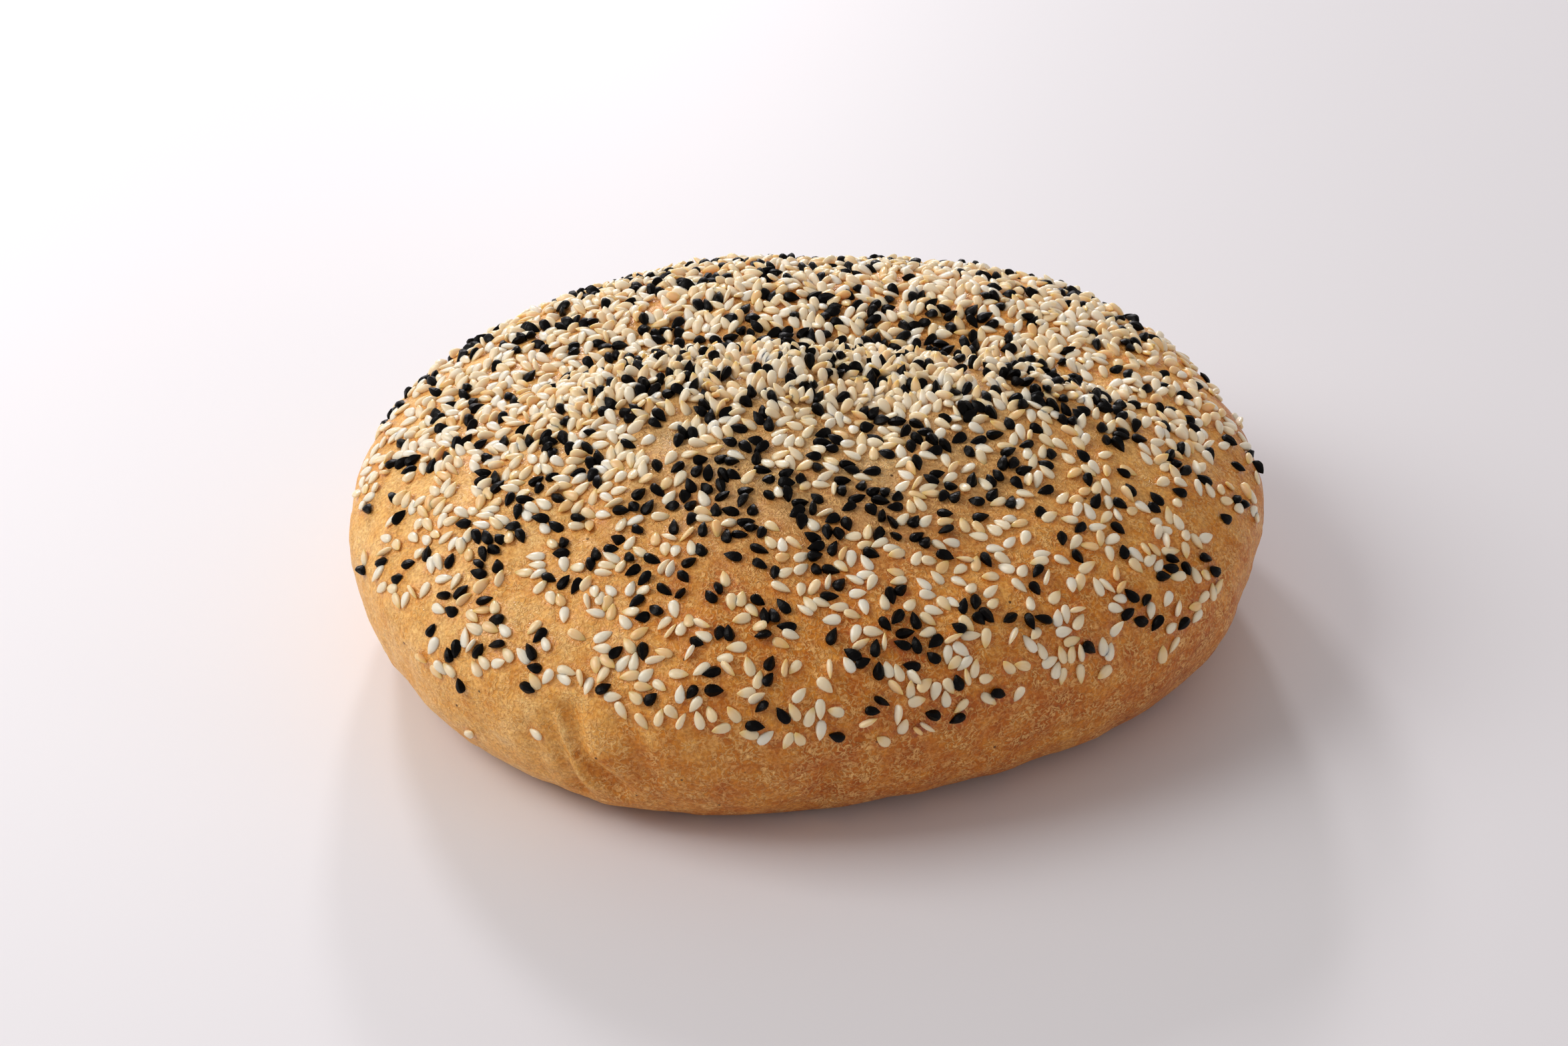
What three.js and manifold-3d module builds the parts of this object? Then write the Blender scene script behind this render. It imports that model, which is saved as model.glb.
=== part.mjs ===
// An oval bread roll, domed and plump, with a flat underside, a belly that tucks in towards it, and a
// shallow crease along the crown. White sesame and black cumin seeds are baked into the crown.
// Millimetres, +Z up. The origin is the middle of the flat underside; the roll is longest near X.
import * as THREE from "three";
import { mergeVertices } from "three/addons/utils/BufferGeometryUtils.js";
import Module from "manifold-3d";

// The loaf, driving dimensions
const loafLength = 153;
const loafWidth = 134;
const domeHeight = 47; // before the swells, which lift the crown some 3 mm more
const bellyHeight = 21; // where the side is widest
const tuckIn = 16; // from the belly in to the edge of the underside
const lengthBearing = 17; // degrees the long axis is turned from X
const planSquareness = 2.45; // exponent of the outline: 2 is an ellipse, more is squarer
const crownSquareness = 2.3; // exponent across the dome: 2 is round, more is flatter on top

// How hand shaping leaves the outline: so many lobes, each so high, one of them at this bearing in degrees
const outlineLobes = [
  { lobes: 3, height: 1.1, bearing: 14 },
  { lobes: 4, height: 1.4, bearing: 20 },
  { lobes: 5, height: 0.5, bearing: -30 },
];

// The crease along the crown: its near lip is steep and its far bank slopes gently
const crease = {
  middle: new THREE.Vector2(2, 14),
  halfLength: 50,
  depth: 6,
  nearLip: 6.5,
  farBank: 17,
  bow: 8, // how far its ends lie in front of its middle
};

// Broad swells and hollows of the dough: place, reach and height above the dome
const swells = [
  { x: -14, y: -2, reach: 26, height: 3.2 },
  { x: 31, y: 0, reach: 19, height: 2.4 },
  { x: -12, y: 36, reach: 22, height: 1.6 },
  { x: 34, y: 34, reach: 20, height: 1.4 },
  { x: 12, y: -5, reach: 10, height: -1.8 },
  { x: -38, y: -44, reach: 14, height: -1.6 },
  { x: 52, y: -24, reach: 18, height: 1.2 },
];

// The seeds
const sesame = { length: 3.3, width: 2.0, thickness: 1.1, sides: 6 };
const blackCumin = { length: 3.0, width: 1.8, thickness: 1.6, sides: 5 };
const seedCount = 288;
const bluntness = 0.12; // how far from its middle a seed is widest, as a share of its length
const sunkShare = 0.3; // of a seed's own height, in the crust
const crownLean = 80; // degrees that a seed may stand up where they crowd on the crown
const crowdedFrom = 0.72; // rise above the heart, as a share of the way out, where seeds begin to crowd
const crowdedFully = 0.97;
const bearingSpread = 0.25; // radians of random wander in where a seed lies on the spiral
const drawStart = 19; // starts the random draw
const seedReach = 86; // degrees from straight up, seen from the heart of the loaf
const cuminEvery = 4; // one seed in four is black cumin
const heartHeight = 12; // height of the point that the seeds are spread round

// The crust's own facets
const crustSides = 64;
const crustRings = 24;
const crownRings = 18; // rings from the top of the crown down to the belly
const tuckRings = 4; // rings from the belly down to the underside

const up = new THREE.Vector3(0, 0, 1);
const across = new THREE.Vector3(0, 1, 0);
const wasm = await Module();
wasm.setup();

// Numbers from 0 to 1 that come out the same each time
function seededRandom(seed) {
  let state = seed;
  return () => {
    state = (state * 16807) % 2147483647;
    return state / 2147483647;
  };
}

// Distance from the axis to the belly at a bearing in radians
function outlineRadius(bearing) {
  const turned = bearing - THREE.MathUtils.degToRad(lengthBearing);
  const along = Math.abs(Math.cos(turned) / (loafLength / 2)) ** planSquareness;
  const across = Math.abs(Math.sin(turned) / (loafWidth / 2)) ** planSquareness;
  let radius = (along + across) ** (-1 / planSquareness);
  for (const lobe of outlineLobes) {
    const first = THREE.MathUtils.degToRad(lobe.bearing);
    radius += lobe.height * Math.cos(lobe.lobes * (bearing - first));
  }
  return radius;
}

// How far the crown stands above the plain dome at a place in plan
function crownRelief(x, y) {
  let height = 0;
  for (const swell of swells) {
    const away = Math.hypot(x - swell.x, y - swell.y) / swell.reach;
    height += swell.height * Math.exp(-away * away);
  }
  const along = (x - crease.middle.x) / crease.halfLength;
  const across = y - (crease.middle.y - crease.bow * along * along);
  const spread = across > 0 ? crease.farBank : crease.nearLip;
  const fade = Math.exp(-(along ** 4));
  return height - crease.depth * fade * Math.exp(-((across / spread) ** 2));
}

// A point on the crust: share runs from 0 at the top of the crown to 1 at the middle of the underside
function crustPoint(bearing, share) {
  const ring = share * crustRings;
  const belly = outlineRadius(bearing);
  const toward = new THREE.Vector2(Math.cos(bearing), Math.sin(bearing));
  if (ring <= crownRings) {
    const out = Math.sin((ring / crownRings) * (Math.PI / 2));
    const spot = toward.multiplyScalar(belly * out);
    const dome = Math.sqrt(1 - out ** crownSquareness);
    const relief = crownRelief(spot.x, spot.y) * dome;
    return new THREE.Vector3(spot.x, spot.y, bellyHeight + (domeHeight - bellyHeight) * dome + relief);
  }
  const edge = belly - tuckIn;
  const down = (ring - crownRings) / tuckRings;
  if (down <= 1) {
    const turn = down * (Math.PI / 2);
    const spot = toward.multiplyScalar(edge + tuckIn * Math.cos(turn));
    return new THREE.Vector3(spot.x, spot.y, bellyHeight * (1 - Math.sin(turn)));
  }
  const inward = (crustRings - ring) / (crustRings - crownRings - tuckRings);
  const spot = toward.multiplyScalar(edge * inward);
  return new THREE.Vector3(spot.x, spot.y, 0);
}

// A sphere's rings and sides, with each corner moved out to the crust
function crustGeometry() {
  const sphere = new THREE.SphereGeometry(1, crustSides, crustRings);
  sphere.rotateX(Math.PI / 2);
  const place = sphere.attributes.position;
  for (let i = 0; i < place.count; i += 1) {
    const corner = new THREE.Vector3().fromBufferAttribute(place, i);
    const share = Math.acos(THREE.MathUtils.clamp(corner.z, -1, 1)) / Math.PI;
    const bearing = Math.atan2(corner.y, corner.x);
    const moved = crustPoint(bearing, Math.round(share * crustRings) / crustRings);
    place.setXYZ(i, moved.x, moved.y, moved.z);
  }
  return sphere;
}

// A seed: a flattened teardrop along X that lies on the XY plane's origin, blunt at one end
function seedGeometry(seed) {
  const profile = [
    new THREE.Vector2(0, -seed.length / 2),
    new THREE.Vector2(seed.width / 2, -seed.length * bluntness),
    new THREE.Vector2(0, seed.length / 2),
  ];
  const drop = new THREE.LatheGeometry(profile, seed.sides);
  drop.rotateZ(-Math.PI / 2);
  return drop.scale(1, 1, seed.thickness / seed.width);
}

// A closed geometry as a solid that can be cut and joined
function solidOf(geometry) {
  const bare = geometry.clone();
  bare.deleteAttribute("normal");
  bare.deleteAttribute("uv");
  const merged = mergeVertices(bare, 1e-3);
  const corners = [];
  const index = merged.index.array;
  for (let i = 0; i < index.length; i += 3) {
    const face = [index[i], index[i + 1], index[i + 2]];
    if (new Set(face).size === 3) corners.push(...face);
  }
  return new wasm.Manifold(
    new wasm.Mesh({
      numProp: 3,
      vertProperties: merged.attributes.position.array,
      triVerts: new Uint32Array(corners),
    }),
  );
}

// One seed on the crust: leant up by so many degrees, spun to a bearing in radians, and partly sunk
function seedOnCrust(seed, point, normal, leanAngle, bearing) {
  const lean = THREE.MathUtils.degToRad(leanAngle);
  const ownHeight = seed.length * Math.sin(lean) + seed.thickness * Math.cos(lean);
  const centre = point.clone().addScaledVector(normal, ownHeight * (0.5 - sunkShare));
  const turn = new THREE.Quaternion().setFromUnitVectors(up, normal);
  turn.multiply(new THREE.Quaternion().setFromAxisAngle(up, bearing));
  turn.multiply(new THREE.Quaternion().setFromAxisAngle(across, lean));
  const matrix = new THREE.Matrix4().compose(centre, turn, new THREE.Vector3(1, 1, 1));
  return solidOf(seedGeometry(seed).applyMatrix4(matrix));
}

// The seeds lie on a spiral seen from the heart of the loaf, which crowds the top of the crown
function seedSolids(crust) {
  const random = seededRandom(drawStart);
  const crustMesh = new THREE.Mesh(crust, new THREE.MeshBasicMaterial());
  const heart = new THREE.Vector3(0, 0, heartHeight);
  const goldenAngle = Math.PI * (3 - Math.sqrt(5));
  const lowest = Math.cos(THREE.MathUtils.degToRad(seedReach));
  const solids = [];
  for (let i = 0; i < seedCount; i += 1) {
    const rise = 1 - ((i + 0.5) / seedCount) * (1 - lowest);
    const bearing = i * goldenAngle + bearingSpread * (random() - 0.5);
    const level = Math.sqrt(1 - rise * rise);
    const outward = new THREE.Vector3(level * Math.cos(bearing), level * Math.sin(bearing), rise);
    const start = heart.clone().addScaledVector(outward, loafLength);
    const ray = new THREE.Raycaster(start, outward.clone().negate());
    const hit = ray.intersectObject(crustMesh)[0];
    const seed = i % cuminEvery === 0 ? blackCumin : sesame;
    const crowding = THREE.MathUtils.smoothstep(rise, crowdedFrom, crowdedFully);
    const lean = crownLean * crowding * Math.sqrt(random());
    solids.push(seedOnCrust(seed, hit.point, hit.face.normal, lean, random() * Math.PI * 2));
  }
  return solids;
}

// The roll itself, without a scrap of seed that touches nothing or a pocket sealed between seeds
function largestBody(bodies) {
  return bodies.reduce((largest, body) => (body.volume() > largest.volume() ? body : largest));
}

// A solid as a geometry, moved so that the middle of its underside is the origin
function centredGeometry(solid) {
  const { numProp, vertProperties, triVerts } = solid.getMesh();
  const corners = new Float32Array((vertProperties.length / numProp) * 3);
  for (let i = 0; i < corners.length / 3; i += 1) {
    corners.set(vertProperties.subarray(i * numProp, i * numProp + 3), i * 3);
  }
  const geometry = new THREE.BufferGeometry();
  geometry.setAttribute("position", new THREE.BufferAttribute(corners, 3));
  geometry.setIndex(new THREE.BufferAttribute(triVerts, 1));
  geometry.computeBoundingBox();
  const { min, max } = geometry.boundingBox;
  geometry.translate(-(min.x + max.x) / 2, -(min.y + max.y) / 2, -min.z);
  geometry.computeVertexNormals();
  return geometry;
}

const crust = crustGeometry();
const joined = wasm.Manifold.union([solidOf(crust), ...seedSolids(crust)]);
const seeded = largestBody(joined.decompose());
const bakedCrust = new THREE.MeshStandardMaterial({ color: 0xd29a55, roughness: 0.62, metalness: 0 });

const roll = new THREE.Group();
const seededRoll = new THREE.Mesh(centredGeometry(seeded), bakedCrust);
seededRoll.name = "seeded_roll";
roll.add(seededRoll);

export default roll;
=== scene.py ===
# A seeded bread roll on a pale table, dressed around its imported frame. Sizes are in millimetres until a
# mesh is written, and every random draw is seeded.
import math

import bpy
import numpy as np
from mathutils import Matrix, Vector, kdtree, noise


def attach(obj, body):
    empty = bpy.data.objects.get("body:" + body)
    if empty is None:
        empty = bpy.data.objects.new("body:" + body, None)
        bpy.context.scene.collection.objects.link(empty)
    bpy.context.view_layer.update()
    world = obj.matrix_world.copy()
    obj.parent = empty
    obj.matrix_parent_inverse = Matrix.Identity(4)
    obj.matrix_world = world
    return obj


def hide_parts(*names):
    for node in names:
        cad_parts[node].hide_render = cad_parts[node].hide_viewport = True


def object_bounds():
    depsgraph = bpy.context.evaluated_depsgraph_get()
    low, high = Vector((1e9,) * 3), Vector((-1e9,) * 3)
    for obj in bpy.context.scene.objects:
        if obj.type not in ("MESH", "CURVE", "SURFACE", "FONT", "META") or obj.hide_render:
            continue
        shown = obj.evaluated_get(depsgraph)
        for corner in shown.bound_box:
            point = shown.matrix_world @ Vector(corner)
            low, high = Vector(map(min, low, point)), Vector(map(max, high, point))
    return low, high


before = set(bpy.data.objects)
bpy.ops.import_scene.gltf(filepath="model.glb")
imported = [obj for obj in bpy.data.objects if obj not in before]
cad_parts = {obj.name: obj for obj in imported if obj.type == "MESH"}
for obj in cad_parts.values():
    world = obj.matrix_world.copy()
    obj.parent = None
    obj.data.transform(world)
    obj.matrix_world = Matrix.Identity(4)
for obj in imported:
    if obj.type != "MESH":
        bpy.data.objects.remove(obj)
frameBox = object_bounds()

mm = 0.001


def linearColour(hexCode):  # sRGB hex to the linear values that Blender mixes
    parts = [int(hexCode[i:i + 2], 16) / 255 for i in (1, 3, 5)]
    return (*[p / 12.92 if p <= 0.04045 else ((p + 0.055) / 1.055) ** 2.4 for p in parts], 1.0)


def addNode(tree, kind, settings, links=None):  # settings are properties, sockets or colour stops
    node = tree.nodes.new(kind)
    for name, value in settings.items():
        if name == "stops":
            while len(node.color_ramp.elements) < len(value):
                node.color_ramp.elements.new(1.0)
            for element, (place, colour) in zip(node.color_ramp.elements, value):
                element.position = place
                element.color = linearColour(colour)
        elif isinstance(name, str) and hasattr(node, name):
            setattr(node, name, value)
        else:
            node.inputs[name].default_value = value
    for name, output in (links or {}).items():
        tree.links.new(output, node.inputs[name])
    return node


def newMaterial(name):
    material = bpy.data.materials.new(name)
    material.use_nodes = True
    material.node_tree.nodes.clear()
    return material, material.node_tree


def smoothStep(low, high, value):
    t = np.clip((value - low) / (high - low), 0, 1)
    return t * t * (3 - 2 * t)


def noiseField(points, size, octaves=1, shift=0.0):  # about -1 to 1, with lumps of the given size in mm
    offset = Vector((shift, shift * 0.7, -shift))  # so that fields with other shifts don't match
    found = [noise.fractal(Vector(p) / size + offset, 1.0, 2.0, octaves) for p in points]
    return np.array(found)


# The roll's form, as it came out of the oven
roll = {
    "length": 153,
    "width": 134,
    "domeHeight": 47,
    "bellyHeight": 21,
    "tuckIn": 16,
    "lengthBearing": 17,  # degrees
    "planSquareness": 2.45,
    "crownSquareness": 2.3,
    "lobes": [(3, 1.1, 14), (4, 1.4, 20), (5, 0.5, -30)],  # how many, how high, bearing of one
    "creaseMiddle": (2, 14),
    "creaseHalfLength": 50,
    "creaseDepth": 6,
    "creaseNearLip": 6.5,
    "creaseFarBank": 17,
    "creaseBow": 8,
    "swells": [  # x, y, reach and height
        (-14, -2, 26, 3.2), (31, 0, 19, 2.4), (-12, 36, 22, 1.6), (34, 34, 20, 1.4),
        (12, -5, 10, -1.8), (-38, -44, 14, -1.6), (52, -24, 18, 1.2),
    ],
    "planShift": (-0.66, 1.3),  # from the dome's own middle to the frame's
    "crownEdge": 98,  # degrees from straight up, on the ball that is rounded to the roll
    "tuckEdge": 144,
}


def outlineRadius(bearing):
    turned = bearing - math.radians(roll["lengthBearing"])
    power = roll["planSquareness"]
    along = np.abs(np.cos(turned) / (roll["length"] / 2)) ** power
    across = np.abs(np.sin(turned) / (roll["width"] / 2)) ** power
    radius = (along + across) ** (-1 / power)
    for lobes, height, first in roll["lobes"]:
        radius = radius + height * np.cos(lobes * (bearing - math.radians(first)))
    return radius


def crownRelief(x, y):
    height = 0
    for sx, sy, reach, rise in roll["swells"]:
        height = height + rise * np.exp(-((x - sx) ** 2 + (y - sy) ** 2) / reach ** 2)
    along = (x - roll["creaseMiddle"][0]) / roll["creaseHalfLength"]
    across = y - (roll["creaseMiddle"][1] - roll["creaseBow"] * along ** 2)
    spread = np.where(across > 0, roll["creaseFarBank"], roll["creaseNearLip"])
    return height - roll["creaseDepth"] * np.exp(-along ** 4) * np.exp(-(across / spread) ** 2)


def rollSurface(directions):  # each direction of a ball to its place on the roll
    crownEdge, tuckEdge = roll["crownEdge"], roll["tuckEdge"]
    polar = np.degrees(np.arccos(np.clip(directions[:, 2], -1, 1)))
    bearing = np.arctan2(directions[:, 1], directions[:, 0])
    belly = outlineRadius(bearing)
    out = np.sin(np.radians(90) * np.clip(polar / crownEdge, 0, 1))
    dome = np.sqrt(np.clip(1 - out ** roll["crownSquareness"], 0, 1))
    turn = np.radians(90) * np.clip((polar - crownEdge) / (tuckEdge - crownEdge), 0, 1)
    inward = np.clip((180 - polar) / (180 - tuckEdge), 0, 1)
    radius = (belly * out - roll["tuckIn"] * (1 - np.cos(turn))) * inward
    x, y = radius * np.cos(bearing), radius * np.sin(bearing)
    above = (roll["domeHeight"] - roll["bellyHeight"] + crownRelief(x, y)) * dome
    below = roll["bellyHeight"] * (1 - np.sin(turn))
    z = np.where(polar < crownEdge, roll["bellyHeight"] + above, below)
    return np.stack([x + roll["planShift"][0], y + roll["planShift"][1], z], axis=1)


# The crust: what lies on that form, and its colours
crust = {
    "gridLevel": 7,  # a cube halved seven times, then rounded to the roll
    "relief": [  # lump size, height and how many finer octaves ride on it
        (26, 0.6, 2), (9, 0.42, 2), (3.4, 0.16, 2), (1.4, 0.07, 1),
    ],
    "folds": [  # width, depth and course of each groove pressed in by hand; a ridge has a depth below 0
        (1.5, 1.3, (-42, -62.9, 22.5), (-41, -63.2, 20), (-40.2, -63.2, 16.3), (-38.9, -62.4, 11.8),
         (-37.1, -60.6, 7)),
        (1.9, 1.9, (-38.9, -63.6, 24.3), (-37.9, -64.6, 20.5), (-37.1, -64.5, 16.3), (-35.1, -64.8, 14),
         (-33, -64.9, 12.2), (-30.8, -64.8, 10.1)),
        (1.3, -0.7, (-40.4, -63.3, 23), (-39.2, -64, 18.5), (-38, -64, 14), (-35.4, -63, 9.6)),
        (2.2, 0.7, (-29.7, -67, 24.1), (-28.5, -67.7, 22.1), (-27.2, -67.9, 18.1), (-25.7, -67.5, 14)),
        (1.6, 0.6, (-45.1, -61, 19.6), (-44.4, -60.6, 15), (-43, -58.8, 9.5)),
        (2.0, 1.5, (2.8, -65, 2), (3.6, -68, 15)), (1.6, 1.2, (-39, -31, 42.5), (-32, -39, 40.5)),
        (2.2, 0.7, (-56, -22, 36), (-47, -30, 38)), (2.4, 0.6, (-24, -30, 45), (-12, -36, 43)),
        (2.4, 0.5, (18, -40, 41), (30, -42, 38)),
    ],
    "bubbles": [  # place, radius and height of thin-skinned blisters
        ((-10, -69.7, 19.1), 1.6, 0.35), ((-5.6, -69, 15.8), 2.2, 0.4), ((-0.1, -67.5, 12.6), 1.5, 0.3),
        ((-17.7, -69.5, 19.6), 1.3, 0.3), ((38, -57, 18), 1.6, 0.3), ((-60, -44, 14), 1.7, 0.3),
    ],
    "tornBubble": ((7.7, -67.1, 21.7), 1.4, 0.5),  # place, radius and depth
    "tornRim": (1.1, 0.35, 0.6),  # its radius and width in radii of the bubble, and height in depths
    "footFade": (0.2, 4),  # heights between which the relief dies away towards the flat underside
    "hollows": [  # place, reach and depth
        ((-1, -64, 7), 8, 1.3), ((75, -14, 14), 13, 1.6), ((12, 32, 47), 22, 0.7),
        ((-66, -36, 16), 9, 0.6),
    ],
    "palePatch": ((0, -10), 43, 1.15),  # middle in plan, reach, and how much shorter it is in y
    "paleRise": (35, 45),  # heights that it fades in between
    "paleMottle": (0.9, 0.4, 6),  # mean and swing of its strength, and lump size
    "meanToast": 0.48,
    "toastBlotches": [(17, 11.0, 0.15), (5, 2.2, 0.10)],  # lump size, shift of the noise and strength
    "toastZones": [  # how much browner, then the stretches that it fades in over, along x or up z
        (0.08, ("x", -45, 30)), (-0.056, ("x", -45, 30), ("z", 24, 34)),
        (-0.32, ("x", -10, -50)),  # paler towards the left end
        (0.11, ("z", 31, 15), ("x", -58, -5)),
        (-0.07, ("z", 24, 32), ("x", 10, 40)), (-0.05, ("x", 20, 60)),
        (0.2, ("z", 5, 0)),  # where it stood on the oven floor
    ],
    # where the seeds lie thick: their front's y and slope, then the depth and heights they grow over
    "cover": (-13, 0.12, (-30, 12), (30, 38)),
    "coverPaleness": 0.2,
    "foldPaintedShade": (0.26, 0.7),  # painted shade: how much browner for each mm of depth, over this share of its width, so grooves read darker and ridges paler
    "colours": [  # from pale to dark toast
        (0.0, "#f1c680"), (0.28, "#e5aa55"), (0.5, "#cf862c"), (0.74, "#b86518"), (1.0, "#93490f"),
    ],
    "steamedColour": "#c4a575",
    "blisterColour": "#f5c883",
    # multiplied into the crust round each seed: partly glaze that dried darker, partly painted shade cast
    # by the seeds
    "glazeAndSeedShadeColour": "#f7e6cf",
    "branColour": "#4a2c14",
    "glazeAndSeedShadeReach": (2.2, 1.0),  # mm from the middle of a seed to where its glaze and painted shade end, and to where they are full
    "glazeAndSeedShadeLostOnPale": 0.8,
}


def crustMesh():
    bpy.ops.mesh.primitive_cube_add(size=2)
    cube = bpy.context.object
    halving = cube.modifiers.new("halving", "SUBSURF")
    halving.subdivision_type = "SIMPLE"
    halving.levels = crust["gridLevel"]
    evaluated = cube.evaluated_get(bpy.context.evaluated_depsgraph_get())
    mesh = bpy.data.meshes.new_from_object(evaluated)
    bpy.data.objects.remove(cube)
    corners = np.empty(len(mesh.vertices) * 3)
    mesh.vertices.foreach_get("co", corners)
    evened = np.tan(corners.reshape(-1, 3) * math.pi / 4)  # even steps round the ball
    directions = evened / np.linalg.norm(evened, axis=1)[:, None]
    return mesh, rollSurface(directions)


def writePlaces(mesh, places):
    mesh.vertices.foreach_set("co", (places * mm).ravel())
    mesh.update()


def readNormals(mesh):
    normals = np.empty(len(mesh.vertices) * 3)
    mesh.vertices.foreach_get("normal", normals)
    return normals.reshape(-1, 3)


def courseDistance(places, course):  # to the nearest point of a bent line
    nearest = np.full(len(places), 1e3)
    for start, end in zip(course, course[1:]):
        a, b = np.array(start, float), np.array(end, float)
        t = np.clip((places - a) @ (b - a) / ((b - a) @ (b - a)), 0, 1)
        nearest = np.minimum(nearest, np.linalg.norm(places - a - t[:, None] * (b - a), axis=1))
    return nearest


def foldShare(places, width, course):
    return np.exp(-(courseDistance(places, course) / width) ** 2)


def crustRelief(places):
    height = np.zeros(len(places))
    for k, (size, rise, octaves) in enumerate(crust["relief"]):
        height += rise * noiseField(places, size, octaves, 3.1 * (k + 1))
    for width, depth, *course in crust["folds"]:
        height -= depth * foldShare(places, width, course)
    for place, radius, rise in crust["bubbles"]:
        height += rise * np.exp(-(np.linalg.norm(places - place, axis=1) / radius) ** 4)
    for place, reach, depth in crust["hollows"]:
        height -= depth * np.exp(-(np.linalg.norm(places - place, axis=1) / reach) ** 2)
    place, radius, depth = crust["tornBubble"]
    away = np.linalg.norm(places - place, axis=1) / radius
    rimRadius, rimWidth, rimHeight = crust["tornRim"]
    height += depth * (rimHeight * np.exp(-((away - rimRadius) / rimWidth) ** 2) - np.exp(-away ** 4))
    return height * smoothStep(*crust["footFade"], places[:, 2])


def crustToastAndFoldShade(places):  # how brown the oven left it, from 0 pale to 1 dark, with painted shade browning the folds' grooves and paling their ridges
    along = {"x": places[:, 0], "z": places[:, 2]}
    toast = crust["meanToast"] - crust["coverPaleness"] * crownCover(places)
    for size, shift, strength in crust["toastBlotches"]:
        toast += strength * noiseField(places, size, 2, shift)
    for strength, *stretches in crust["toastZones"]:
        for way, low, high in stretches:
            strength = strength * smoothStep(low, high, along[way])
        toast += strength
    # painted shade: each groove browner and each ridge paler, by its depth
    strength, widthShare = crust["foldPaintedShade"]
    for width, depth, *course in crust["folds"]:
        toast += strength * depth * foldShare(places, width * widthShare, course)
    return np.clip(toast, 0, 1)


def crownCover(places):  # where the seeds lie thick: the crown behind a slanting front line
    x, y, z = places.T
    front, slope, depth, heights = crust["cover"]
    return smoothStep(*depth, y - (front + slope * x)) * smoothStep(*heights, z)


def palePatch(places):  # where steam kept the crown from colouring
    (px, py), reach, shorter = crust["palePatch"]
    away = np.hypot(places[:, 0] - px, (places[:, 1] - py) * shorter) / reach
    mean, swing, size = crust["paleMottle"]
    patchy = mean + swing * noiseField(places, size, 2, 6.6)
    return np.exp(-away ** 3) * smoothStep(*crust["paleRise"], places[:, 2]) * patchy


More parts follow.
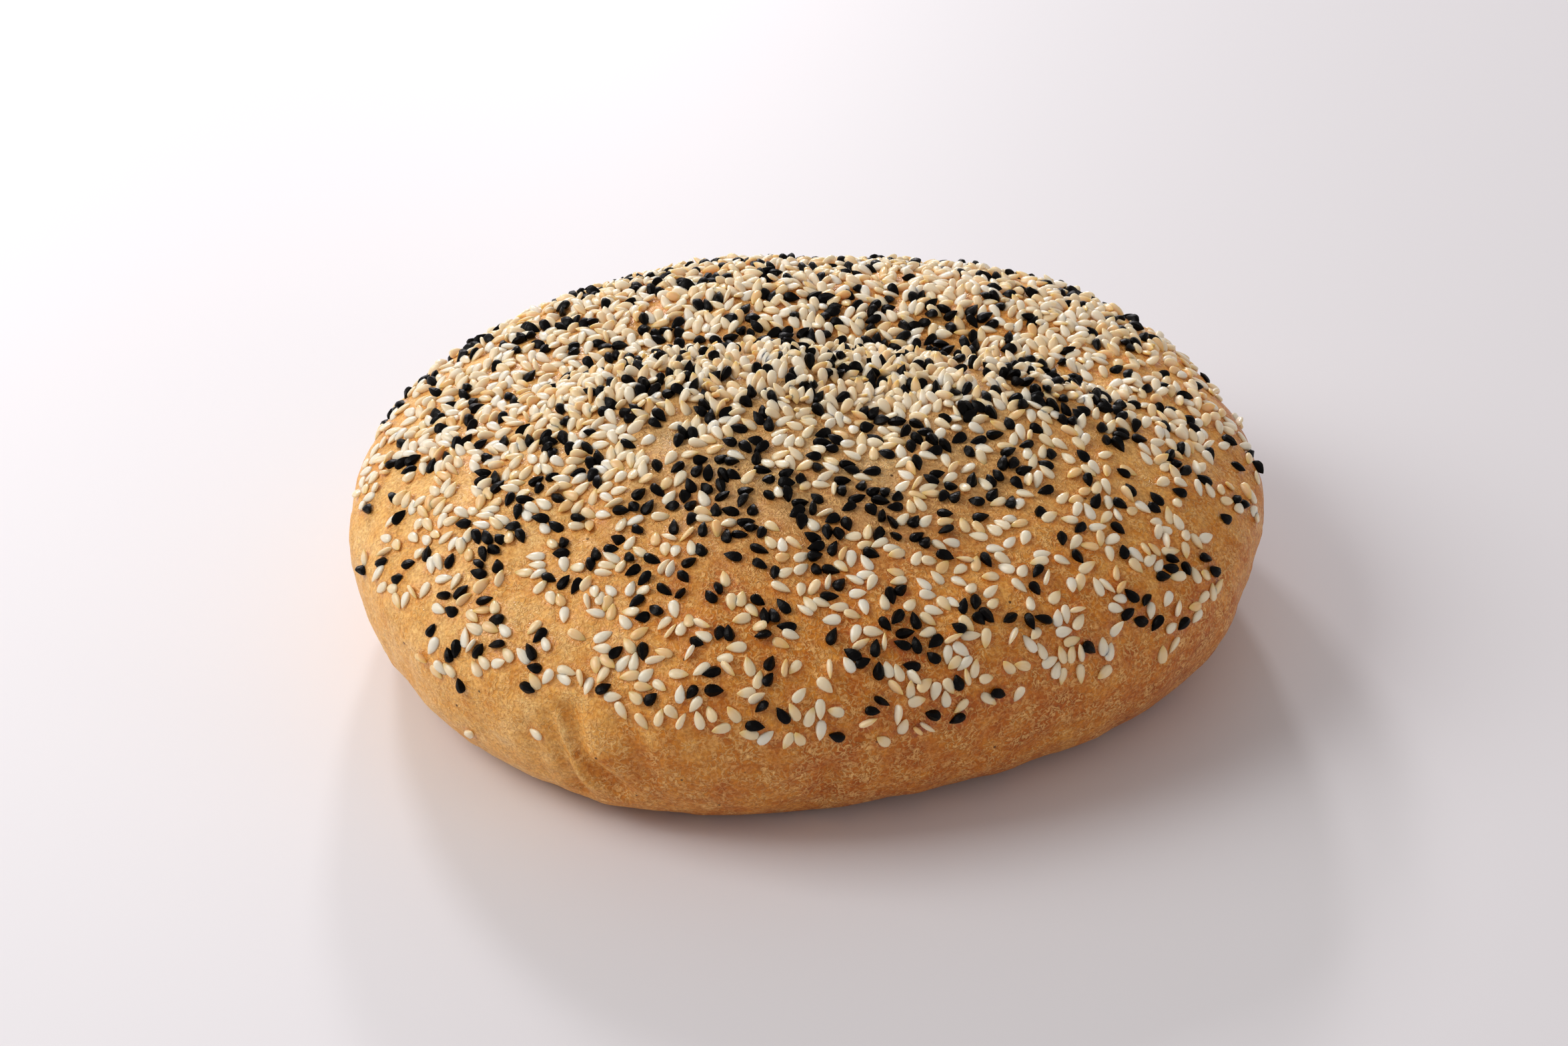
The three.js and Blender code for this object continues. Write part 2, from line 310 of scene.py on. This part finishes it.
def crustMaterial():
    # Lean wheat dough, glazed with water and baked: a thin golden crust, sandy with tiny blisters
    material, tree = newMaterial("crustBakedWheat")
    place = addNode(tree, "ShaderNodeTexCoord", {}).outputs["Object"]
    toast = addNode(tree, "ShaderNodeAttribute", {"attribute_name": "toast"}).outputs["Fac"]
    pale = addNode(tree, "ShaderNodeAttribute", {"attribute_name": "pale"}).outputs["Fac"]
    # patches of brown some 4 mm across, with finer mottling
    mottle = addNode(tree, "ShaderNodeTexNoise",
                     {"Scale": 1 / (4.2 * mm), "Detail": 5, "Roughness": 0.65},
                     {"Vector": place}).outputs["Fac"]
    brownedAndFoldShaded = addNode(tree, "ShaderNodeMath", {"operation": "MULTIPLY_ADD", 1: 0.95},
                      {0: mottle, 2: toast})
    centred = addNode(tree, "ShaderNodeMath", {"operation": "SUBTRACT", 1: 0.45},
                      {0: brownedAndFoldShaded.outputs[0]})
    base = addNode(tree, "ShaderNodeValToRGB", {"stops": crust["colours"]}, {"Fac": centred.outputs[0]})
    paler = addNode(tree, "ShaderNodeMix",
                    {"data_type": "RGBA", 7: linearColour(crust["steamedColour"])},
                    {0: pale, 6: base.outputs["Color"]})
    # blisters of 0.3 to 0.8 mm, pale and wriggly where the skin puffed, in drifts
    puff = addNode(tree, "ShaderNodeTexNoise",
                   {"Scale": 1 / (1.15 * mm), "Detail": 2, "Roughness": 0.6, "Distortion": 0.6},
                   {"Vector": place})
    drift = addNode(tree, "ShaderNodeTexNoise", {"Scale": 1 / (3.2 * mm), "Detail": 3},
                    {"Vector": place})
    middling = addNode(tree, "ShaderNodeMath", {"operation": "SUBTRACT", 1: 0.5},
                       {0: puff.outputs["Fac"]})
    thread = addNode(tree, "ShaderNodeMath", {"operation": "ABSOLUTE"}, {0: middling.outputs[0]})
    puffMask = addNode(tree, "ShaderNodeMapRange", {1: 0.02, 2: 0.08, 3: 1.0, 4: 0.0},
                       {0: thread.outputs[0]})
    driftMask = addNode(tree, "ShaderNodeMapRange", {1: 0.38, 2: 0.62, 3: 0.2, 4: 0.75},
                        {0: drift.outputs["Fac"]})
    blister = addNode(tree, "ShaderNodeMath", {"operation": "MULTIPLY"},
                      {0: puffMask.outputs[0], 1: driftMask.outputs[0]})
    blistered = addNode(tree, "ShaderNodeMix",
                        {"data_type": "RGBA", 7: linearColour(crust["blisterColour"])},
                        {0: blister.outputs[0], 6: paler.outputs[2]})
    # sandy grain below half a millimetre, its pits a deeper brown
    grain = addNode(tree, "ShaderNodeTexNoise",
                    {"Scale": 1 / (0.6 * mm), "Detail": 2, "Roughness": 0.65},
                    {"Vector": place}).outputs["Fac"]
    grainShare = addNode(tree, "ShaderNodeMapRange", {1: 0.3, 2: 0.7}, {0: grain})
    grainTint = addNode(tree, "ShaderNodeMix",
                        {"data_type": "VECTOR", 4: (0.8, 0.64, 0.47), 5: (1.27, 1.28, 1.27)},
                        {0: grainShare.outputs[0]})
    sandy = addNode(tree, "ShaderNodeVectorMath", {"operation": "MULTIPLY"},
                    {0: blistered.outputs[2], 1: grainTint.outputs[1]})
    # glaze that gathered round the seeds and dried to amber, its darkening partly painted shade round
    # each seed
    glaze = addNode(tree, "ShaderNodeAttribute", {"attribute_name": "glaze"}).outputs["Fac"]
    glazeAndSeedShadeColour = linearColour(crust["glazeAndSeedShadeColour"])
    amberAndSeedShade = addNode(tree, "ShaderNodeMix",
                    {"data_type": "RGBA", "blend_type": "MULTIPLY", 7: glazeAndSeedShadeColour},
                    {0: glaze, 6: sandy.outputs[0]})
    # bran: one dark speck in some cells
    cells = addNode(tree, "ShaderNodeTexVoronoi", {"Scale": 1 / (3.6 * mm)}, {"Vector": place})
    speck = addNode(tree, "ShaderNodeMapRange", {1: 0.055, 2: 0.09, 3: 0.9, 4: 0.0},
                    {0: cells.outputs["Distance"]})
    some = addNode(tree, "ShaderNodeMath", {"operation": "GREATER_THAN", 1: 0.6},
                   {0: cells.outputs["Color"]})
    bran = addNode(tree, "ShaderNodeMath", {"operation": "MULTIPLY"},
                   {0: speck.outputs[0], 1: some.outputs[0]})
    colour = addNode(tree, "ShaderNodeMix", {"data_type": "RGBA", 7: linearColour(crust["branColour"])},
                     {0: bran.outputs[0], 6: amberAndSeedShade.outputs[2]})
    # blisters and grain stand up a fifth of a millimetre at most
    rise = addNode(tree, "ShaderNodeMath", {"operation": "MULTIPLY_ADD", 1: 1.4},
                   {0: blister.outputs[0], 2: grain})
    bump = addNode(tree, "ShaderNodeBump", {"Strength": 0.8, "Distance": 0.2 * mm},
                   {"Height": rise.outputs[0]})
    # satin where it stayed pale, duller where it browned, and wet-looking in the glaze
    dry = addNode(tree, "ShaderNodeMapRange", {1: 0.3, 2: 0.7, 3: 0.36, 4: 0.6}, {0: mottle})
    shine = addNode(tree, "ShaderNodeMath", {"operation": "MULTIPLY_ADD", 1: -0.16},
                    {0: glaze, 2: dry.outputs[0]})
    wet = addNode(tree, "ShaderNodeMath", {"operation": "MULTIPLY_ADD", 1: 0.45, 2: 0.1}, {0: glaze})
    shader = addNode(tree, "ShaderNodeBsdfPrincipled", {"IOR": 1.4, "Subsurface Weight": 0.08,
                     "Subsurface Radius": (1.0, 0.5, 0.2), "Subsurface Scale": 0.8 * mm,
                     "Specular IOR Level": 0.35, "Coat Roughness": 0.16},
                     {"Base Color": colour.outputs[2], "Roughness": shine.outputs[0],
                      "Normal": bump.outputs[0], "Coat Weight": wet.outputs[0],
                      "Coat Normal": bump.outputs[0]})
    addNode(tree, "ShaderNodeOutputMaterial", {}, {"Surface": shader.outputs[0]})
    return material


def insideBox(places, ease=0.8, softness=1.6):  # ease back what would stand out past the frame
    for axis in range(3):
        for wall, way in ((boxLow[axis], -1), (boxHigh[axis], 1)):
            beyond = (places[:, axis] - wall) * way + ease
            eased = ease * np.tanh(np.maximum(beyond, 0) / ease / softness)
            if axis < 2 or way > 0:  # the underside stays flat
                places[:, axis] = np.where(beyond > 0, wall + way * (eased - ease), places[:, axis])
    places[:, 2] = np.maximum(places[:, 2], 0)
    return places


def makeCrust():
    mesh, places = crustMesh()
    writePlaces(mesh, places)
    places = insideBox(places + readNormals(mesh) * crustRelief(places)[:, None])
    writePlaces(mesh, places)
    mesh.shade_smooth()
    for name, values in (("toast", crustToastAndFoldShade(places)), ("pale", palePatch(places))):
        mesh.attributes.new(name, "FLOAT", "POINT").data.foreach_set("value", values)
    mesh.materials.append(crustMaterial())
    piece = bpy.data.objects.new("crust", mesh)
    bpy.context.scene.collection.objects.link(piece)
    return piece


boxLow, boxHigh = (np.array(corner) / mm for corner in frameBox)
crustPiece = makeCrust()
print("crust baked:", len(crustPiece.data.polygons), "faces")

# The two kinds of seed, and how they lie
sesame = {  # blunt and point are how fast its two ends narrow, and corners how three-sided it is
    "length": (2.9, 3.5), "width": (1.65, 2.0), "thickness": (0.8, 1.0),
    "sides": 8, "rings": 6, "blunt": 0.46, "point": 0.78, "squareness": 2.6,
    "corners": 0.0, "wrinkle": 0.05, "forms": 6,
    "tones": [(0.0, "#ffeddb"), (0.28, "#ffe8cf"), (0.55, "#fde1c0")],
    "toastedTones": [(0.55, "#fde3c4"), (0.9, "#fad8aa"), (1.0, "#f0c588")],
    "toastedFrom": 0.55,  # the share of seeds that keep their cream to the tip
    "tipShare": (0.35, 0.85),  # how far the tips of cream and of toasted seeds turn gold
    "tipColour": "#e8bf6a",
    "rimShare": 0.5,
    "rimColour": "#e9c98c",
}
cumin = {
    "length": (2.6, 3.3), "width": (1.6, 1.95), "thickness": (1.25, 1.5),
    "sides": 9, "rings": 7, "blunt": 0.52, "point": 0.9, "squareness": 2.0,
    "corners": 0.17, "wrinkle": 0.1, "forms": 6,
    "sharpFrom": 38,  # degrees between faces
    "colours": [(0.3, "#050404"), (0.7, "#0b0908")],
}
scatter = {
    "drawStart": 5,  # starts the random draw
    "attempts": 12,  # at finding room for a seed
    "turnsTried": 6,  # at each of them
    "wander": (0.5, 0.25),  # mm from the place picked, and more at each attempt
    "thinnest": 0.5,  # share of the picked place's density that the new one needs
    "facing": (0, -0.84, 0.54),  # the way that the flat faces of crowded seeds tend to turn
    "facingCost": 1.2,
    "goodEnough": 0.05,
    "sunk": 0.28,  # share of a seed's own height in the crust
    "piled": 0.9,  # mm that a crowded seed may lie on others
    "lean": 0.16,  # radians; crowded seeds lean this much more
    "crowdedLean": (0.15, 0.85),
    "onEdge": (0.14, 0.2),  # share that lie on edge, and how much more where they crowd
    "tip": 0.15,  # radians; those on edge are tipped this much more
    "edgeTip": (0.7, 1.57),
    "knots": (-0.29, 0, 0.27),  # along a seed, where its room is measured
    "girthShare": 0.92,
    "bite": (0.2, 2.5, 0.12, 1.2),  # allowed in mm: always, per density over the third, and by crowding
    "cell": 3.6,  # mm, for finding the neighbours
    "standing": ((4, 3), (42, 15), 0.1),  # middle in plan, reach and slope
    "crowd": (0.2, 0.15, (16, 34)),  # under the thick cover, more at the back, and the y it grows over
    "strays": [(-55.2, -50.5, 10.5), (-44.5, -61, 18.2)],
    "strayTone": 0.4,
    "density": {  # seeds to a square millimetre, and shares by which they thin out, from and to an x
        "sides": 0.088, "shoulders": 0.032, "shoulderRise": (24, 30),
        "endThinning": 0.35, "ends": ((36, 60), (-36, -54)),
        "cover": 0.14, "coverThinning": ((0.5, 10, 44), (0.4, -30, -55)),
        "standing": 0.13, "valley": -0.05, "patchiness": 0.25, "patchSize": 7,
    },
    "cuminShare": 0.22,  # of all seeds, before the patches below
    "cuminPatches": [  # how much more, middle in plan, and reach in x, in front and behind
        (0.38, (-2, -35), (42, 20, 16)), (0.2, (42, -3), (17, 13, 13)), (0.07, (-18, 38), (26, 15, 15)),
    ],
    "cuminValley": 0.34,
    "cuminClumps": (4.5, 1.8, (0.1, 2.2)),  # size, strength and the least and most
    "valley": (7, 0.003, 4, 52),  # behind the crease's middle, bow, and reach across and along it
    "edgeWander": (1.2, 9, 1, 1.5),  # height and size of its waves, and the fade below and above it
    "edge": [  # bearing and the height that the seeds come down to
        (-180, 26), (-158, 23), (-140, 21), (-120, 27), (-108, 25), (-80, 20), (-55, 22.5), (-36, 19.5),
        (-18, 26), (10, 25), (60, 22), (100, 25), (140, 23), (180, 26),
    ],
}


def standingShare(places):  # where they crowd so thickly behind the mound that they stand up
    x, y, _ = places.T
    (sx, sy), (reachX, reachY), slope = scatter["standing"]
    return np.exp(-((x - sx) / reachX) ** 4 - ((y - sy - slope * (x - sx)) / reachY) ** 4)


def valleyShare(places):  # the far foot of the crease, just in sight behind its near lip
    x, y, _ = places.T
    behind, bow, across, along = scatter["valley"]
    middleX, middleY = roll["creaseMiddle"]
    line = middleY + behind - bow * (x - middleX) ** 2
    return np.exp(-((y - line) / across) ** 2 - (x / along) ** 4)


def seedDensity(places):  # seeds to a square millimetre: thick on the crown, thin down the sides
    x, y, z = places.T
    rates = scatter["density"]
    cover = crownCover(places)
    ends = sum(smoothStep(*stretch, x) for stretch in rates["ends"])
    density = rates["sides"] + rates["shoulders"] * smoothStep(*rates["shoulderRise"], z)
    density = density * (1 - rates["endThinning"] * ends * (1 - cover))
    thick = rates["cover"] * cover
    for share, *stretch in rates["coverThinning"]:
        thick = thick * (1 - share * smoothStep(*stretch, x))
    density += thick
    density += rates["standing"] * standingShare(places) + rates["valley"] * valleyShare(places)
    density *= 1 + rates["patchiness"] * noiseField(places, rates["patchSize"], 2, 12.3)
    bearing = np.degrees(np.arctan2(y, x))
    wander, wanderSize, below, above = scatter["edgeWander"]
    edge = np.interp(bearing, *zip(*scatter["edge"])) + wander * noiseField(places, wanderSize, 1, 4.4)
    return density * smoothStep(edge - below, edge + above, z)


def cuminShare(places):
    x, y, _ = places.T
    share = scatter["cuminShare"] + scatter["cuminValley"] * valleyShare(places)
    for more, (px, py), (reachX, inFront, behind) in scatter["cuminPatches"]:
        reachY = np.where(y > py, behind, inFront)
        share += more * np.exp(-((x - px) / reachX) ** 2 - ((y - py) / reachY) ** 2)
    size, strength, limits = scatter["cuminClumps"]
    return share * np.clip(1 + strength * noiseField(places, size, 1, 8.8), *limits)


def seedShape(kind, form=0):  # a drop along X, blunt behind and pointed ahead, 1 long, wide and thick
    stops = -np.cos(math.pi * np.arange(1, kind["rings"] + 1) / (kind["rings"] + 1))
    girth = (1 + stops) ** kind["blunt"] * (1 - stops) ** kind["point"]
    girth *= 0.5 / girth.max()
    turns = np.arange(kind["sides"]) * 2 * math.pi / kind["sides"]
    power = 2 / kind["squareness"]
    places = [(-0.5, 0, 0)]
    for stop, radius in zip(stops, girth):
        for turn in turns:
            side, top = math.cos(turn), math.sin(turn)
            spot = Vector((stop * 2.2, side * 1.6, top * 1.6 + 9 * form))  # a few wrinkles to a seed
            ridge = 1 + kind["corners"] * math.cos(3 * turn + 0.3 * form)
            size = radius * ridge * (1 + kind["wrinkle"] * noise.noise(spot))
            places.append((stop / 2, math.copysign(abs(side) ** power, side) * size,
                           math.copysign(abs(top) ** power, top) * size))
    places.append((0.5, 0, 0))
    last, sides, faces = len(places) - 1, kind["sides"], []
    for i in range(sides):
        j = (i + 1) % sides
        faces += [(0, 1 + j, 1 + i), (last, last - sides + i, last - sides + j)]
        for k in range(kind["rings"] - 1):
            a, b = 1 + k * sides, 1 + (k + 1) * sides
            faces += [(a + i, a + j, b + j), (a + i, b + j, b + i)]
    return np.array(places), np.array(faces)


def faceTable(piece):  # middle, normal and area in mm of every face
    mesh = piece.data
    centres, normals = (np.empty(len(mesh.polygons) * 3) for _ in range(2))
    areas = np.empty(len(mesh.polygons))
    mesh.polygons.foreach_get("center", centres)
    mesh.polygons.foreach_get("normal", normals)
    mesh.polygons.foreach_get("area", areas)
    return centres.reshape(-1, 3) / mm, normals.reshape(-1, 3), areas / mm ** 2


def turned(normal, spin, lean, tip):  # axes of a seed: spun on the crust, leant up, tipped on edge
    side = np.cross(normal, (0.31, 0.83, 0.46))  # where the spin is counted from
    side /= np.linalg.norm(side)
    along = side * math.cos(spin) + np.cross(normal, side) * math.sin(spin)
    across = np.cross(normal, along)
    leant = normal * math.cos(lean) - along * math.sin(lean)
    along = along * math.cos(lean) + normal * math.sin(lean)
    up = leant * math.cos(tip) - across * math.sin(tip)
    across = across * math.cos(tip) + leant * math.sin(tip)
    return np.stack([along, across, up])


def biteInto(knots, girth, others):  # how deep a seed would cut into those already laid, in mm
    if not others:
        return 0.0
    otherKnots = np.concatenate([o[0] for o in others])
    otherGirths = np.repeat([o[1] for o in others], 3)
    gaps = np.linalg.norm(knots[:, None] - otherKnots[None], axis=2) - girth - otherGirths[None]
    return float(np.maximum(-gaps, 0).sum())


def laySeed(draw, point, normal, crowd, kind, others):  # the best of several turns at one place
    scale = np.array([draw.uniform(*kind[key]) for key in ("length", "width", "thickness")])
    girth = (scale[1] + scale[2]) / 4 * scatter["girthShare"]
    onEdgeShare, onEdgeMore = scatter["onEdge"]
    best = None
    for _ in range(scatter["turnsTried"]):
        lean = abs(draw.normal(0, scatter["lean"])) + crowd * draw.uniform(*scatter["crowdedLean"])
        lean *= -1 if draw.random() < 0.5 else 1
        onEdge = draw.random() < onEdgeShare + onEdgeMore * crowd
        tip = draw.normal(0, scatter["tip"]) + (draw.uniform(*scatter["edgeTip"]) if onEdge else 0)
        axes = turned(normal, draw.uniform(0, 2 * math.pi), lean, tip)
        reach = np.linalg.norm((axes @ normal) * scale / 2)
        lift = reach * (1 - 2 * scatter["sunk"]) + draw.uniform(0, scatter["piled"]) * crowd
        centre = point + normal * lift
        knots = centre + np.outer(scatter["knots"], axes[0] * scale[0])
        bite = biteInto(knots, girth, others)
        cost = bite + scatter["facingCost"] * crowd * (1 - abs(axes[2] @ scatter["facing"]))
        if best is None or cost < best[0]:
            best = (cost, bite, centre, axes * scale[:, None], knots, girth)
        if cost < scatter["goodEnough"]:
            break
    return best[1:]


def scatterSeeds(piece):
    draw = np.random.default_rng(scatter["drawStart"])
    centres, normals, areas = faceTable(piece)
    tree = kdtree.KDTree(len(centres))
    for k, centre in enumerate(centres):
        tree.insert(centre, k)
    tree.balance()
    density, share = seedDensity(centres), cuminShare(centres)
    covered, atBack, backDepth = scatter["crowd"]
    crowding = (covered + atBack * smoothStep(*backDepth, centres[:, 1])) * crownCover(centres)
    standing = np.maximum(standingShare(centres), crowding)
    wanted = density * areas
    count = int(wanted.sum())
    picks = draw.choice(len(wanted), count, p=wanted / wanted.sum())
    always, perDensity, denseFrom, perCrowd = scatter["bite"]
    nearby, further = scatter["wander"]
    laid, grid = [], {}
    for pick in picks:
        kind = cumin if draw.random() < share[pick] else sesame
        for attempt in range(scatter["attempts"]):
            near = tree.find(centres[pick] + draw.normal(0, nearby + further * attempt, 3))[1]
            if density[near] < scatter["thinnest"] * density[pick]:
                continue
            point, normal = centres[near], normals[near]
            crowd = float(standing[near])
            cx, cy, cz = (point // scatter["cell"]).astype(int)
            others = [o for dx in (-1, 0, 1) for dy in (-1, 0, 1) for dz in (-1, 0, 1)
                      for o in grid.get((cx + dx, cy + dy, cz + dz), [])]
            bite, centre, axes, knots, girth = laySeed(draw, point, normal, crowd, kind, others)
            if bite < always + perDensity * max(density[near] - denseFrom, 0) + perCrowd * crowd:
                grid.setdefault((cx, cy, cz), []).append((knots, girth))
                laid.append((kind is cumin, centre, axes, draw.random()))
                break
    for place in scatter["strays"]:
        near = tree.find(place)[1]
        _, centre, axes, _, _ = laySeed(draw, centres[near], normals[near], 0, sesame, [])
        laid.append((False, centre, axes, scatter["strayTone"]))
    return laid


def markGlazeAndSeedShade(piece, laid):  # marks the crust close round each seed for its glaze and its painted shade, strongest where it isn't pale
    mesh = piece.data
    reach, lost = crust["glazeAndSeedShadeReach"], crust["glazeAndSeedShadeLostOnPale"]
    tree = kdtree.KDTree(len(laid))
    for k, seed in enumerate(laid):
        tree.insert(seed[1], k)
    tree.balance()
    gaps = np.array([tree.find(vertex.co / mm)[2] for vertex in mesh.vertices])
    pale = np.empty(len(gaps))
    mesh.attributes["pale"].data.foreach_get("value", pale)
    glaze = smoothStep(*reach, gaps) * (1 - lost * np.clip(pale, 0, 1))
    mesh.attributes.new("glaze", "FLOAT", "POINT").data.foreach_set("value", glaze)


def joinSeeds(name, kind, seeds):
    forms = [seedShape(kind, form) for form in range(kind["forms"])]
    places, faces, count = [], [], 0
    for k, (_, centre, axes, _) in enumerate(seeds):
        shape, triangles = forms[k % len(forms)]
        corners = centre + shape @ axes
        above = np.maximum(corners.max(axis=0) - boxHigh, 0)
        below = np.maximum(boxLow - corners.min(axis=0), 0)
        places.append(corners - (above - below))  # pressed in where it would stand out past the frame
        faces.append(triangles + count)
        count += len(shape)
    mesh = bpy.data.meshes.new(name)
    mesh.from_pydata(np.concatenate(places) * mm, [], np.concatenate(faces))
    mesh.shade_smooth()
    shape = forms[0][0]
    marks = {
        "tone": np.repeat([seed[3] for seed in seeds], len(shape)),
        "tip": np.tile(smoothStep(0.05, 0.5, shape[:, 0]), len(seeds)),
        "rim": np.tile(np.abs(shape[:, 2]) < 0.01, len(seeds)).astype(float),
    }
    for mark, values in marks.items():
        mesh.attributes.new(mark, "FLOAT", "POINT").data.foreach_set("value", values)
    piece = bpy.data.objects.new(name, mesh)
    bpy.context.scene.collection.objects.link(piece)
    return piece


def sesameMaterial(name, tones, tipShare):
    # Hulled white sesame, baked: cream and a little translucent, with an oily sheen
    material, tree = newMaterial(name)
    tone, rim, tip = (addNode(tree, "ShaderNodeAttribute", {"attribute_name": a}).outputs["Fac"]
                      for a in ("tone", "rim", "tip"))
    base = addNode(tree, "ShaderNodeValToRGB", {"stops": tones}, {"Fac": tone})
    lined = addNode(tree, "ShaderNodeMath", {"operation": "MULTIPLY", 1: sesame["rimShare"]}, {0: rim})
    rimmed = addNode(tree, "ShaderNodeMix", {"data_type": "RGBA", 7: linearColour(sesame["rimColour"])},
                     {0: lined.outputs[0], 6: base.outputs["Color"]})
    tipped = addNode(tree, "ShaderNodeMath", {"operation": "MULTIPLY", 1: tipShare}, {0: tip})
    colour = addNode(tree, "ShaderNodeMix", {"data_type": "RGBA", 7: linearColour(sesame["tipColour"])},
                     {0: tipped.outputs[0], 6: rimmed.outputs[2]})
    shader = addNode(tree, "ShaderNodeBsdfPrincipled", {"IOR": 1.47, "Roughness": 0.3,
                     "Subsurface Weight": 1.0, "Subsurface Radius": (1.0, 0.95, 0.86),
                     "Subsurface Scale": 0.8 * mm}, {"Base Color": colour.outputs[2]})
    addNode(tree, "ShaderNodeOutputMaterial", {}, {"Surface": shader.outputs[0]})
    return material


def cuminMaterial():
    # Dried black cumin seed: a wrinkled skin, near black and dull with small glints
    material, tree = newMaterial("blackCuminDried")
    place = addNode(tree, "ShaderNodeTexCoord", {}).outputs["Object"]
    wrinkle = addNode(tree, "ShaderNodeTexNoise", {"Scale": 1 / (0.35 * mm), "Detail": 3},
                      {"Vector": place})
    bump = addNode(tree, "ShaderNodeBump", {"Strength": 0.7, "Distance": 0.1 * mm},
                   {"Height": wrinkle.outputs["Fac"]})
    base = addNode(tree, "ShaderNodeValToRGB", {"stops": cumin["colours"]},
                   {"Fac": wrinkle.outputs["Fac"]})
    shader = addNode(tree, "ShaderNodeBsdfPrincipled", {"IOR": 1.45, "Specular IOR Level": 0.1,
                     "Roughness": 0.34},
                     {"Base Color": base.outputs["Color"], "Normal": bump.outputs[0]})
    addNode(tree, "ShaderNodeOutputMaterial", {}, {"Surface": shader.outputs[0]})
    return material


seeds = scatterSeeds(crustPiece)
markGlazeAndSeedShade(crustPiece, seeds)
seedKinds = {
    "sesame": [seed for seed in seeds if not seed[0] and seed[3] < sesame["toastedFrom"]],
    "sesameToasted": [seed for seed in seeds if not seed[0] and seed[3] >= sesame["toastedFrom"]],
    "blackCumin": [seed for seed in seeds if seed[0]],
}
creamTip, toastedTip = sesame["tipShare"]
sesamePiece = joinSeeds("sesame", sesame, seedKinds["sesame"])
sesamePiece.data.materials.append(sesameMaterial("sesameHulledBaked", sesame["tones"], creamTip))
toastedPiece = joinSeeds("sesameToasted", sesame, seedKinds["sesameToasted"])
toastedPiece.data.materials.append(
    sesameMaterial("sesameHulledToasted", sesame["toastedTones"], toastedTip))
cuminPiece = joinSeeds("blackCumin", cumin, seedKinds["blackCumin"])
cuminPiece.data.set_sharp_from_angle(angle=math.radians(cumin["sharpFrom"]))
cuminPiece.data.materials.append(cuminMaterial())
print("seeds scattered:", {kind: len(found) for kind, found in seedKinds.items()})

for piece, slot in (
    (crustPiece, "crust"), (sesamePiece, "sesame"), (toastedPiece, "sesame"),
    (cuminPiece, "black_cumin"),
):
    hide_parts("seeded_roll")
    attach(piece, "root")

# Table, light and camera
table = {"size": 6000, "colour": "#e6e5e9"}


def makeTable():
    # Painted board, rolled and satin: pale grey with a soft sheen
    bpy.ops.mesh.primitive_grid_add(x_subdivisions=8, y_subdivisions=8, size=table["size"] * mm)
    floor = bpy.context.object
    floor.name = "table"
    material, tree = newMaterial("tablePaintedSatin")
    shader = addNode(tree, "ShaderNodeBsdfPrincipled",
                     {"Base Color": linearColour(table["colour"]), "Roughness": 0.5})
    addNode(tree, "ShaderNodeOutputMaterial", {}, {"Surface": shader.outputs[0]})
    floor.data.materials.append(material)


studio = {
    "target": (-4.3, 1.3, 18.0),
    "lookDown": 33, "distance": 800, "lens": 107.5,
    "lamps": [  # name, bearing from +Y towards -X, rise, distance, size, watts, colour
        ("windowRight", 3, 19, 1500, 120, 4.7, "#f6f2f5"),
        ("windowLeft", 20, 26, 1500, 190, 6.1, "#f6f2f5"),
        ("sideSoftbox", 90, 40, 1500, 900, 14.2, "#fffdfb"),
        ("rightFill", -112, 14, 1500, 500, 1.7, "#fff3e8"),
    ],
    "sky": ("#fff8f6", 0.39),
}


def makeStudio():
    world = bpy.data.worlds.new("softRoom")
    bpy.context.scene.world = world
    world.use_nodes = True
    background = world.node_tree.nodes["Background"]
    background.inputs["Color"].default_value = linearColour(studio["sky"][0])
    background.inputs["Strength"].default_value = studio["sky"][1]
    target = Vector(studio["target"]) * mm
    for name, bearing, rise, distance, size, watts, colour in studio["lamps"]:
        lamp = bpy.data.lights.new(name, "AREA")
        lamp.size = size * mm
        lamp.energy = watts
        lamp.color = linearColour(colour)[:3]
        holder = bpy.data.objects.new(name, lamp)
        angle, up = math.radians(90 + bearing), math.radians(rise)
        toward = Vector((math.cos(angle) * math.cos(up), math.sin(angle) * math.cos(up), math.sin(up)))
        offset = toward * distance * mm
        holder.location = target + offset
        holder.rotation_euler = (-offset).to_track_quat("-Z", "Y").to_euler()
        bpy.context.scene.collection.objects.link(holder)
    camera = bpy.data.cameras.new("camera")
    camera.lens = studio["lens"]
    camera.sensor_width = 36
    eye = bpy.data.objects.new("camera", camera)
    down = math.radians(studio["lookDown"])
    offset = Vector((0, -math.cos(down), math.sin(down))) * studio["distance"] * mm
    eye.location = target + offset
    eye.rotation_euler = (-offset).to_track_quat("-Z", "Y").to_euler()
    bpy.context.scene.collection.objects.link(eye)
    bpy.context.scene.camera = eye
    bpy.context.scene.view_settings.view_transform = "Standard"


makeTable()
makeStudio()
print("studio lit")
